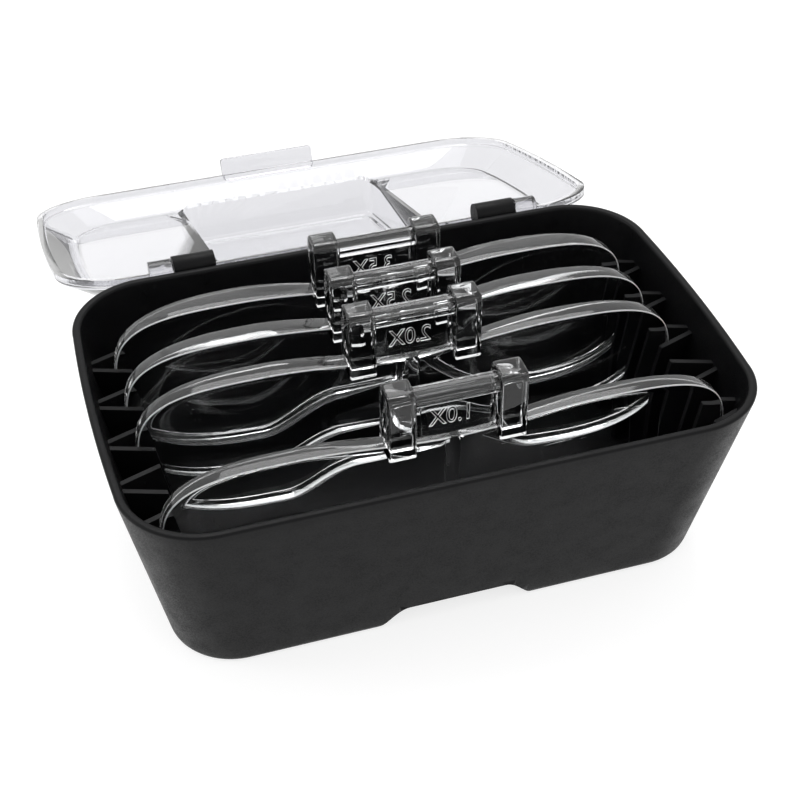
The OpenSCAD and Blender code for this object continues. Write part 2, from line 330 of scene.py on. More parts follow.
@dataclass(frozen=True)
class MouldedEdge:
    """The moulded edge of a clear plate: more or less hazy, with fine lines round it."""

    name: str = "plate_edge_hazy"
    tint: tuple[float, float, float] = (0.985, 0.99, 0.995)
    ior: float = 1.49
    haze: float = 0.015
    roughness: Flat = (0.0, 0.09)
    bands: float = 260.0
    lines: float = 2400.0
    line_depth: float = 0.004

    def build(self) -> bpy.types.Material:
        """Makes the material.

        Returns:
            The material.
        """
        sheet = NodeSheet(self.name)
        band = sheet.noise(self.bands, 3.0, (1.0, 0.6))
        drag = sheet.noise(self.lines, 2.0, (0.5, 0.5))
        rough = sheet.ramp(band, (0.35, self.roughness[0]), (0.65, self.roughness[1]))
        relief = sheet.bump(drag, self.line_depth, 0.4)
        body = sheet.principled(Roughness=rough, Normal=relief)
        body.inputs["Base Color"].default_value = (*self.tint, 1.0)
        body.inputs["IOR"].default_value = self.ior
        body.inputs["Transmission Weight"].default_value = 1.0 - self.haze
        return sheet.close(body.outputs[0])


@dataclass(frozen=True)
class StudioPaper:
    """Plain white paper under and behind the object."""

    name: str = "studio_paper"
    tone: tuple[float, float, float] = (0.36, 0.36, 0.36)
    glow: float = 0.74
    roughness: float = 0.9
    fibres: float = 1500.0
    fibre_depth: float = 0.02

    def build(self) -> bpy.types.Material:
        """Makes the material.

        Returns:
            The material.
        """
        sheet = NodeSheet(self.name)
        fibre = sheet.bump(sheet.noise(self.fibres, 2.0), self.fibre_depth, 0.2)
        paper = sheet.principled(Normal=fibre)
        paper.inputs["Base Color"].default_value = (*self.tone, 1.0)
        paper.inputs["Roughness"].default_value = self.roughness
        paper.inputs["Emission Color"].default_value = (1.0, 1.0, 1.0, 1.0)
        paper.inputs["Emission Strength"].default_value = self.glow
        return sheet.close(paper.outputs[0])


# --- Mesh tools -------------------------------------------------------------------------------


def rounded_profile(points: list[Flat], radii: list[float], steps: int = 5) -> list[Flat]:
    """Rounds the inner corners of an open line.

    Args:
        points: The line's corners.
        radii: A radius for each corner but the first and the last.
        steps: Steps in each round.

    Returns:
        The line's points.
    """
    line = [points[0]]
    for k, radius in enumerate(radii, start=1):
        here = Vector(points[k])
        back = (Vector(points[k - 1]) - here).normalized()
        on = (Vector(points[k + 1]) - here).normalized()
        half = math.acos(max(-1.0, min(1.0, back.dot(on)))) / 2
        reach = radius / math.tan(half)
        start, end = here + back * reach, here + on * reach
        for s in range(steps + 1):
            t = s / steps
            spot = start.lerp(here, t).lerp(here.lerp(end, t), t)
            line.append((spot.x, spot.y))
    line.append(points[-1])
    return line


def divide_line(line: list[Flat], longest: float) -> list[Flat]:
    """Adds points to an open line, so that no step of it is longer than a length.

    Args:
        line: The line's points.
        longest: The longest step.

    Returns:
        The points, with the new ones between them.
    """
    points = [line[0]]
    for (x0, y0), (x1, y1) in zip(line, line[1:]):
        count = max(1, math.ceil(math.hypot(x1 - x0, y1 - y0) / longest))
        points += [(x0 + (x1 - x0) * k / count, y0 + (y1 - y0) * k / count)
                   for k in range(1, count + 1)]
    return points


def inset_outline(outline: list[Flat], amount: float | list[float]) -> list[Flat]:
    """Moves a counterclockwise outline inward, along the mean normal at each point.

    Args:
        outline: The outline's points.
        amount: How far to move it, or how far for each point.

    Returns:
        The moved points.
    """
    count = len(outline)
    amounts = amount if isinstance(amount, list) else [amount] * count
    moved = []
    for k, ((x, y), step) in enumerate(zip(outline, amounts)):
        before, after = Vector(outline[k - 1]), Vector(outline[(k + 1) % count])
        along = (after - before).normalized()
        moved.append((x - along.y * step, y + along.x * step))
    return moved


def loft(name: str, rings: list[Ring], surfaces: list[Surface] | None = None) -> bpy.types.Object:
    """Joins rings of the same number of points into a closed solid, and caps both ends.

    Args:
        name: The object's name.
        rings: The rings, in millimetres, each counterclockwise seen from the last one's side.
        surfaces: The finish of each band between two rings, polished where it isn't given.

    Returns:
        The object.
    """
    count = len(rings[0])
    spots = [tuple(c * MM for c in p) for ring in rings for p in ring]
    faces = [tuple(reversed(range(count)))]
    finishes = [Surface.POLISHED]
    for k in range(len(rings) - 1):
        low, high = k * count, (k + 1) * count
        for i in range(count):
            j = (i + 1) % count
            faces.append((low + i, low + j, high + j, high + i))
            finishes.append(surfaces[k] if surfaces else Surface.POLISHED)
    faces.append(tuple(range((len(rings) - 1) * count, len(rings) * count)))
    finishes.append(Surface.POLISHED)
    mesh = bpy.data.meshes.new(name)
    mesh.from_pydata(spots, [], faces)
    mesh.polygons.foreach_set("material_index", [f.value for f in finishes])
    mesh.validate()
    piece = bpy.data.objects.new(name, mesh)
    bpy.context.scene.collection.objects.link(piece)
    return piece


def slab(name: str, outline: list[Flat], low: float, high: float, edge: float,
         turn: Matrix) -> bpy.types.Object:
    """A prism with rounded edges at both ends.

    Args:
        name: The object's name.
        outline: A counterclockwise outline, in millimetres.
        low: Where the prism starts along its own axis.
        high: Where it ends.
        edge: Radius of the edges.
        turn: Where the prism's own axes go.

    Returns:
        The object.
    """
    rings = []
    for k in range(ROUND_STEPS + 1):
        a = math.pi / 2 * k / ROUND_STEPS
        flat = inset_outline(outline, edge * (1 - math.sin(a)))
        rings.append([(x, y, low + edge * (1 - math.cos(a))) for x, y in flat])
    for k in range(ROUND_STEPS + 1):
        a = math.pi / 2 * (1 - k / ROUND_STEPS)
        flat = inset_outline(outline, edge * (1 - math.sin(a)))
        rings.append([(x, y, high - edge * (1 - math.cos(a))) for x, y in flat])
    piece = loft(name, rings)
    piece.data.transform(turn)
    piece.data.update()
    return piece


def upright(x: float, z: float) -> Matrix:
    """Stands a flat outline up to face the front, with its centre at X and Z in millimetres."""
    return Matrix.Translation((x * MM, 0, z * MM)) @ Matrix.Rotation(math.pi / 2, 4, "X")


def round_section(y: float, z: float, radius: float, steps: int) -> list[Flat]:
    """A circle's points around Y and Z, for a bar along X."""
    turns = [2 * math.pi * k / steps for k in range(steps)]
    return [(y + radius * math.cos(a), z + radius * math.sin(a)) for a in turns]


def rounded_box(width: float, depth: float, radius: float, steps: int = 6) -> list[Flat]:
    """A rectangle with round corners.

    Args:
        width: Its size along the first axis.
        depth: Its size along the second axis.
        radius: Radius of the corners.
        steps: Steps in each corner.

    Returns:
        The points, centred and counterclockwise.
    """
    points = []
    for k, (sx, sy) in enumerate([(1, 1), (-1, 1), (-1, -1), (1, -1)]):
        cx, cy = sx * (width / 2 - radius), sy * (depth / 2 - radius)
        for s in range(steps + 1):
            a = math.pi / 2 * (k + s / steps)
            points.append((cx + radius * math.cos(a), cy + radius * math.sin(a)))
    return points


def settle(piece: bpy.types.Object) -> bpy.types.Object:
    """Applies a piece's modifiers to its mesh and removes them.

    Args:
        piece: The piece.

    Returns:
        The same piece, with its new mesh.
    """
    graph = bpy.context.evaluated_depsgraph_get()
    mesh = bpy.data.meshes.new_from_object(piece.evaluated_get(graph), depsgraph=graph)
    piece.modifiers.clear()
    piece.data = mesh
    return piece


def combine(base: bpy.types.Object, others: list[bpy.types.Object],
            how: Join) -> bpy.types.Object:
    """Joins solids with a base solid, or cuts them from it, and removes them.

    Args:
        base: The solid that stays.
        others: The solids to join or cut.
        how: What is done with each of them.

    Returns:
        The base solid.
    """
    for other in others:
        step = base.modifiers.new("join", "BOOLEAN")
        step.operation = how.value
        step.solver = "MANIFOLD"
        step.object = other
    settle(base)
    for other in others:
        bpy.data.objects.remove(other)
    return base


def finish_edges(piece: bpy.types.Object, width: float, angle: float,
                 weld: bool = False) -> None:
    """Rounds a piece's sharp edges with modifiers, without touching its own mesh.

    Args:
        piece: The piece.
        width: Radius of the rounded edges, in millimetres.
        angle: Edges sharper than this are rounded, in degrees.
        weld: True for an imported mesh, whose faces don't share their corners.
    """
    if weld:
        piece.modifiers.new("weld", "WELD").merge_threshold = WELD_GAP * MM
    bevel = piece.modifiers.new("edges", "BEVEL")
    bevel.width = width * MM
    bevel.segments = ROUND_STEPS
    bevel.limit_method = "ANGLE"
    bevel.angle_limit = math.radians(angle)
    bevel.harden_normals = not weld
    bevel.use_clamp_overlap = True


def shade(piece: bpy.types.Object, angle: float) -> None:
    """Shades a piece smooth.

    Args:
        piece: The piece.
        angle: Edges where its faces turn by more than this stay sharp, in degrees.
    """
    mesh = piece.data
    mesh.polygons.foreach_set("use_smooth", [True] * len(mesh.polygons))
    mesh.set_sharp_from_angle(angle=math.radians(angle))
    mesh.update()


def dress(piece: bpy.types.Object, materials: list[bpy.types.Material], slot: Slot,
          body: str, *nodes: str) -> None:
    """Gives a piece its materials, its body and the CAD nodes that it stands for.

    Args:
        piece: The piece.
        materials: Its materials, in the order of its faces' indexes.
        slot: The record's slot that it takes its finish from; not used.
        body: The body that it moves with.
        *nodes: The CAD nodes that it replaces, or none where it is a CAD node itself.
    """
    indexes = [face.material_index for face in piece.data.polygons]
    piece.data.materials.clear()
    for material in materials:
        piece.data.materials.append(material)
    last = len(materials) - 1
    piece.data.polygons.foreach_set("material_index", [min(i, last) for i in indexes])
    if nodes:
        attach(piece, body)
        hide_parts(*nodes)
    log.info("%s: %d faces on %s", piece.name, len(piece.data.polygons), body)


# --- The case ---------------------------------------------------------------------------------


@dataclass
class CaseOutline:
    """Plan of the case: straight long sides, bowed ends and round corners."""

    half_len: float
    half_dep: float
    radius: float = 15.5
    bow: float = 2.0
    side_steps: int = 14
    corner_steps: int = 24

    def ring(self, z: float, in_x: float, in_y: float, radius: float) -> Ring:
        """One level of the plan.

        Args:
            z: Height of the level.
            in_x: How far the ends are in from the rim.
            in_y: How far the long sides are in from the rim.
            radius: Corner radius at the level.

        Returns:
            The ring, counterclockwise from above.
        """
        hx, hy = self.half_len - in_x, self.half_dep - in_y
        foot = hy - radius
        nip = hx - self.bow * (foot / hy) ** 2 - radius
        quarter: list[Flat] = []
        for k in range(self.side_steps):
            y = foot * k / self.side_steps
            quarter.append((hx - self.bow * (y / hy) ** 2, y))
        for k in range(self.corner_steps + 1):
            a = math.pi / 2 * k / self.corner_steps
            quarter.append((nip + radius * math.cos(a), foot + radius * math.sin(a)))
        for k in range(1, self.side_steps):
            quarter.append((nip * (1 - k / self.side_steps), hy))
        second = [(-x, y) for x, y in reversed(quarter[1:])]
        upper = quarter + [(0.0, hy)] + second + [(-quarter[0][0], 0.0)]
        lower = [(-x, -y) for x, y in upper[1:-1]]
        return [(x, y, z) for x, y in upper + lower]


@dataclass
class CaseBody:
    """The black case, as one moulding: walls, lip, floor and the two notches in its foot."""

    outline: CaseOutline
    height: float
    draft_x: float = 7.25
    draft_y: float = 7.75
    draft_r: float = 3.2
    wall: float = 1.6
    floor: float = 2.0
    lip: float = 0.62
    foot: float = 1.6
    inner_foot: float = 2.2
    notch_width: float = 33.0
    notch_roof: float = 19.0
    notch_height: float = 5.0
    notch_depth: float = 7.0
    notch_steps: int = 12
    notch_edge: float = 0.4
    reach: float = 3.0
    edge: float = 0.35
    band: float = 2.4
    round_from: float = 40.0
    sharp_from: float = 50.0

    def level(self, z: float, inset: float) -> Ring:
        """A ring of the drafted walls.

        Args:
            z: Its height.
            inset: How far it is in from the outer wall.

        Returns:
            The ring.
        """
        drop = (self.height - z) / self.height
        radius = self.outline.radius - self.draft_r * drop - inset
        return self.outline.ring(z, self.draft_x * drop + inset, self.draft_y * drop + inset,
                                 max(radius, self.wall))

    def profile(self) -> list[Flat]:
        """The wall's section, from the underside over the lip and down to the floor.

        Returns:
            The section's points, as an inset and a height.
        """
        corners = [(self.foot * self.reach, 0.0), (0.0, 0.0), (0.0, self.height),
                   (self.wall, self.height), (self.wall, self.floor),
                   (self.wall + self.inner_foot * self.reach, self.floor)]
        line = rounded_profile(corners, [self.foot, self.lip, self.lip, self.inner_foot])
        return divide_line(line, self.band)

    def notch_bar(self, grow: float, end: End) -> bpy.types.Object:
        """The arched space of a notch, grown by a wall where its own wall is wanted.

        Args:
            grow: How much wider the space is made on all sides.
            end: Which of the two notches it is.

        Returns:
            The solid.
        """
        half, steps = self.notch_width / 2, self.notch_steps
        ramp = half - self.notch_roof / 2
        rise = [(half + grow - ramp * k / steps,
                 (self.notch_height + grow) * (1 - math.cos(math.pi * k / steps)) / 2)
                for k in range(steps + 1)]
        arch = [(half + grow, -self.foot)] + rise + [(-x, z) for x, z in reversed(rise)]
        arch.append((-half - grow, -self.foot))
        near = self.outline.half_dep - self.draft_y - self.notch_depth - grow
        far = self.outline.half_dep + self.foot
        low, high = (-far, -near) if end is End.BACK else (near, far)
        return slab("notch", arch, low, high, self.notch_edge, upright(0, 0))

    def build(self, finish: bpy.types.Material) -> bpy.types.Object:
        """Makes the case and puts it in place of its CAD shell.

        Args:
            finish: Its material.

        Returns:
            The case.
        """
        body = loft("case_body", [self.level(z, inset) for inset, z in self.profile()])
        front, back = (self.notch_bar(self.wall, end) for end in End)
        inside = loft("inside", [self.level(z, self.wall / 2)
                                 for z in (self.floor / 2, self.height)])
        bosses = combine(inside, [combine(front, [back], Join.ADD)], Join.KEEP)
        combine(body, [bosses], Join.ADD)
        combine(body, [self.notch_bar(0.0, end) for end in End], Join.CUT)
        finish_edges(body, self.edge, self.round_from)
        settle(body)
        shade(body, self.sharp_from)
        dress(body, [finish], Slot.CASE, "case", "case_shell")
        return body


@dataclass
class CaseFittings:
    """The CAD nodes of the case that keep their own shape: slot fins and hinge barrels."""

    fin_edge: float = 0.42
    barrel_edge: float = 0.55
    round_from: float = 40.0
    fins: tuple[str, ...] = ("slot_fins_left", "slot_fins_right")
    barrels: tuple[str, ...] = ("hinge_barrel_left", "hinge_barrel_right")

    def build(self, finish: bpy.types.Material) -> None:
        """Rounds the edges of the fins and the barrels, and dresses them.

        Args:
            finish: Their material.
        """
        for names, edge in ((self.fins, self.fin_edge), (self.barrels, self.barrel_edge)):
            for name in names:
                node = frame["nodes"][name]
                finish_edges(node, edge, self.round_from, weld=True)
                dress(node, [finish], Slot.CASE, "case")


# --- The lens plates --------------------------------------------------------------------------


@dataclass
class LensPlate:
    """One clear plate: two plano-convex lenses, the strip between them and the clip on top."""

    name: str
    number: str
    face_radius: float
    thickness: float = 2.8
    top_dip: float = 1.9
    lens_out: float = 1.8
    top_power: float = 3.4
    low_power: float = 2.4
    nose_half: float = 12.0
    nose_height: float = 4.6
    ramp: float = 14.0
    strip: float = 2.6
    edge: float = 0.20
    draft: float = 0.36
    ear_width: float = 5.0
    ear_round: float = 1.8
    ear_lap: float = 1.6
    bar: float = 3.8
    panel: float = 1.3
    digit_size: float = 5.0
    digit_narrow: float = 0.84
    digit_depth: float = 0.16
    digit_slope: float = 0.14
    digit_rise: float = 1.1
    flat_from: float = 0.9
    overlap: float = 0.4
    strip_proud: float = 0.02
    strip_round: float = 0.2
    strip_edge: float = 0.15
    ear_foot: float = 0.25
    ear_edge: float = 0.35
    bar_edge: float = 0.1
    panel_lift: float = 0.1
    panel_proud: float = 0.015
    panel_edge: float = 0.05
    sharp_from: float = 32.0
    rim_steps: int = 40
    face_steps: int = 16
    nose_steps: int = 6
    join_steps: int = 12
    ear_steps: int = 7
    bar_steps: int = 48
    low: Vector = field(init=False)
    high: Vector = field(init=False)
    clip_low: Vector = field(init=False)
    clip_high: Vector = field(init=False)

    def __post_init__(self) -> None:
        """Reads the plate's place from its CAD nodes."""
        self.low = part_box(f"lens_{self.name}_left")[0] / MM
        self.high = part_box(f"lens_{self.name}_right")[1] / MM
        self.clip_low, self.clip_high = (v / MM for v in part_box(f"clip_{self.name}"))

    @property
    def front(self) -> float:
        """Where the flat front face is along Y."""
        return self.low.y

    @property
    def centre(self) -> Vector:
        """The right lens's optical centre, as X and Z."""
        return Vector((self.high.x / 2 + self.lens_out, (self.low.z + self.high.z) / 2))

    def back(self, x: float, z: float) -> float:
        """Where the spherical back face of the right lens is along Y.

        Args:
            x: The point's place along X.
            z: The point's height.

        Returns:
            The back face's place.
        """
        reach = self.high.x - self.centre.x
        sag = self.face_radius - math.sqrt(self.face_radius ** 2 - reach ** 2)
        away = (Vector((x, z)) - self.centre).length
        drop = self.face_radius - math.sqrt(self.face_radius ** 2 - away ** 2)
        return self.front + self.thickness + sag - drop

    def draft_at(self, x: float, z: float) -> float:
        """How far the back's rim is in from the front's, which is most along the foot.

        Args:
            x: The rim point's place along X.
            z: The rim point's height.

        Returns:
            The draft.
        """
        if x < self.strip / 2:
            return 0.0
        share = (self.centre.y - z) / (self.centre.y - self.low.z)
        return self.draft * max(0.0, min(1.0, share * 2))

    def corner(self, angle: float, power: float) -> Flat:
        """A point on the plate's round end.

        Args:
            angle: Its angle from the horizontal.
            power: How square the corner is, where 2 is an ellipse.

        Returns:
            The point, as X and Z.
        """
        c, s = math.cos(angle), math.sin(angle)
        reach = self.high.x - self.centre.x
        tall = (self.high.z - self.low.z) / 2
        x = self.centre.x + reach * abs(c) ** (2 / power)
        return x, self.centre.y + tall * math.copysign(abs(s) ** (2 / power), s)

    def half_outline(self, inner: float) -> list[Flat]:
        """The right half's outline, counterclockwise seen from the front, in X and Z.

        Args:
            inner: Where the half ends near the middle.

        Returns:
            The outline's points.
        """
        n, mid = self.rim_steps, self.centre
        top, foot = self.high.z, self.low.z
        crown = [mid.x + (inner - mid.x) * k / n for k in range(1, n + 1)]
        upper = [(x, top - self.top_dip * (1 + math.cos(math.pi * x / mid.x)) / 2)
                 for x in crown]
        wave = [self.nose_half + self.ramp * k / n for k in range(n)]
        lower = [(x, foot + self.nose_height
                  * (1 + math.cos(math.pi * (x - self.nose_half) / self.ramp)) / 2)
                 for x in wave]
        low_end = [self.corner(-math.pi / 2 * (1 - k / n), self.low_power) for k in range(n)]
        top_end = [self.corner(math.pi / 2 * k / n, self.top_power) for k in range(n + 1)]
        nose = [(inner + (self.nose_half - inner) * k / self.nose_steps,
                 foot + self.nose_height) for k in range(self.nose_steps)]
        edge_top = upper[-1][1]
        down = [(inner, edge_top + (foot + self.nose_height - edge_top) * k / self.join_steps)
                for k in range(1, self.join_steps)]
        return nose + lower + low_end + top_end + upper + down

    def lens(self, side: Side) -> bpy.types.Object:
        """One lens as a closed solid.

        Args:
            side: Which of the two lenses it is.

        Returns:
            The solid.
        """
        outline = self.half_outline(self.strip / 2 - self.overlap)
        mid, rings, surfaces = self.centre, [], []
        rounds = ROUND_STEPS

        def face_rings(flat: list[Flat], on_back: bool) -> list[Ring]:
            """Rings of one face, from its rim in to its centre.

            Args:
                flat: The rim's outline.
                on_back: True for the spherical face and False for the flat one.

            Returns:
                The rings.
            """
            made = []
            for k in range(self.face_steps):
                share = 1 - k / self.face_steps
                spots = [(mid.x + (x - mid.x) * share, mid.y + (z - mid.y) * share)
                         for x, z in flat]
                made.append([(x, self.back(x, z) if on_back else self.front, z)
                             for x, z in spots])
            return made

        tight = inset_outline(outline, self.edge)
        rings += reversed(face_rings(tight, on_back=False))
        surfaces += [Surface.POLISHED] * (len(rings) - 1)
        for k in range(1, rounds + 1):
            a = math.pi / 2 * k / rounds
            flat = inset_outline(outline, self.edge * (1 - math.sin(a)))
            rings.append([(x, self.front + self.edge * (1 - math.cos(a)), z) for x, z in flat])
            surfaces.append(Surface.FROST)
        drafts = [self.draft_at(x, z) for x, z in outline]
        tight = inset_outline(outline, [self.edge + draft for draft in drafts])
        heights = [self.back(x, z) for x, z in tight]
        for k in range(rounds):
            a = math.pi / 2 * (1 - k / rounds)
            flat = inset_outline(outline, [draft + self.edge * (1 - math.sin(a))
                                           for draft in drafts])
            rings.append([(x, y - self.edge * (1 - math.cos(a)), z)
                          for (x, z), y in zip(flat, heights)])
            surfaces.append(Surface.EDGE if k == 0 else Surface.POLISHED)
        back = face_rings(tight, on_back=True)
        rings += back
        surfaces += [Surface.POLISHED] * len(back)
        rings.reverse()
        surfaces = surfaces[:len(rings) - 1]
        surfaces.reverse()
        piece = loft(f"lens_{side}", rings, surfaces)
        if side is Side.LEFT:
            piece.data.transform(Matrix.Scale(-1, 4, (1, 0, 0)))
            piece.data.flip_normals()
        return piece

    def middle(self) -> bpy.types.Object:
        """The flat strip between the two lenses, a hair proud of them in front.

        Returns:
            The solid.
        """
        foot, top = self.low.z + self.nose_height, self.high.z - self.top_dip - self.strip_proud
        flat = rounded_box(self.strip, top - foot, self.strip_round)
        return slab("strip", flat, -(self.front + self.thickness),
                    -self.front + self.strip_proud, self.strip_edge, upright(0, (foot + top) / 2))

    def ear(self, side: Side) -> bpy.types.Object:
        """One ear of the clip, with a rounded top.

        Args:
            side: Which of the two ears it is.

        Returns:
            The solid.
        """
        y = (self.clip_low.y + self.clip_high.y) / 2
        depth = self.clip_high.y - self.clip_low.y
        low = self.high.z - self.top_dip - self.ear_lap
        top = self.clip_high.z
        corners = [(y, low), (y + depth / 2, low), (y + depth / 2, top), (y - depth / 2, top),
                   (y - depth / 2, low), (y, low)]
        radii = [self.ear_foot, self.ear_round, self.ear_round, self.ear_foot]
        flat = rounded_profile(corners, radii, self.ear_steps)[:-1]
        outer = self.clip_high.x
        low_x, high_x = outer - self.ear_width, outer
        if side is Side.LEFT:
            low_x, high_x = -outer, -outer + self.ear_width
        return slab("ear", flat, low_x, high_x, self.ear_edge, ALONG_X)

    def bridge(self) -> list[bpy.types.Object]:
        """The round bar between the ears and the thin panel under it.

        Returns:
            The two solids.
        """
        y = (self.clip_low.y + self.clip_high.y) / 2
        bar_z = self.clip_high.z - self.ear_round / 2 - self.bar / 2
        reach = self.clip_high.x - self.ear_width / 2
        circle = round_section(y, bar_z, self.bar / 2, self.bar_steps)
        bar = slab("bar", circle, -reach, reach, self.bar_edge, ALONG_X)
        low = self.high.z - self.top_dip - self.ear_lap + self.panel_lift
        flat = rounded_box(2 * reach, bar_z - low, self.bar_edge)
        back = self.front + self.thickness
        panel = slab("panel", flat, -(back + self.panel_proud), -(back - self.panel),
                     self.panel_edge, upright(0, (low + bar_z) / 2))
        return [bar, panel]

    def digits(self) -> bpy.types.Object:
        """The raised magnification on the panel's back, which reads from behind.

        Returns:
            The closed solids of the number, as one object.
        """
        text = bpy.data.curves.new("digits", "FONT")
        text.body = self.number
        text.size = self.digit_size * MM
        text.extrude = self.digit_depth * MM
        text.bevel_depth = self.digit_slope * MM
        text.offset = -self.digit_slope * MM / 2
        text.align_x = "CENTER"
        text.align_y = "CENTER"
        text.resolution_u = 4
        holder = bpy.data.objects.new("digits", text)
        bpy.context.scene.collection.objects.link(holder)
        graph = bpy.context.evaluated_depsgraph_get()
        mesh = bpy.data.meshes.new_from_object(holder.evaluated_get(graph), depsgraph=graph)
        bpy.data.objects.remove(holder)
        back = self.front + self.thickness
        place = Matrix.Translation((0, back * MM, (self.high.z + self.digit_rise) * MM))
        narrow = Matrix.Scale(self.digit_narrow, 4, (1, 0, 0))
        mesh.transform(place @ Matrix(((-1, 0, 0, 0), (0, 0, 1, 0), (0, 1, 0, 0),
                                       (0, 0, 0, 1))) @ narrow)
        shell = bmesh.new()
        shell.from_mesh(mesh)
        bmesh.ops.remove_doubles(shell, verts=shell.verts, dist=WELD_GAP * MM)
        bmesh.ops.recalc_face_normals(shell, faces=shell.faces)
        for face in shell.faces:
            flat = abs(face.normal.y) > self.flat_from
            face.material_index = (Surface.POLISHED if flat else Surface.FROST).value
        shell.to_mesh(mesh)
        shell.free()
        piece = bpy.data.objects.new("digits", mesh)
        bpy.context.scene.collection.objects.link(piece)
        return piece

    def build(self, finishes: list[bpy.types.Material]) -> None:
        """Joins the plate into one clear moulding and puts it in place of its CAD nodes.

        Args:
            finishes: The materials, in the order of Surface.
        """
        plate = self.lens(Side.RIGHT)
        plate.name = f"lens_plate_{self.name}"
        parts = [self.lens(Side.LEFT), self.middle(), *(self.ear(side) for side in Side),
                 *self.bridge(), self.digits()]
        for piece in [plate, *parts]:
            indexes = [face.material_index for face in piece.data.polygons]
            piece.data.materials.clear()
            for material in finishes:
                piece.data.materials.append(material)
            piece.data.polygons.foreach_set("material_index", indexes)
        combine(plate, parts, Join.ADD)
        shade(plate, self.sharp_from)
        body = f"plate_{self.name}"
        dress(plate, finishes, Slot.LENS, body, f"lens_{self.name}_left",
              f"lens_{self.name}_right", f"clip_{self.name}")


# --- The lid ----------------------------------------------------------------------------------


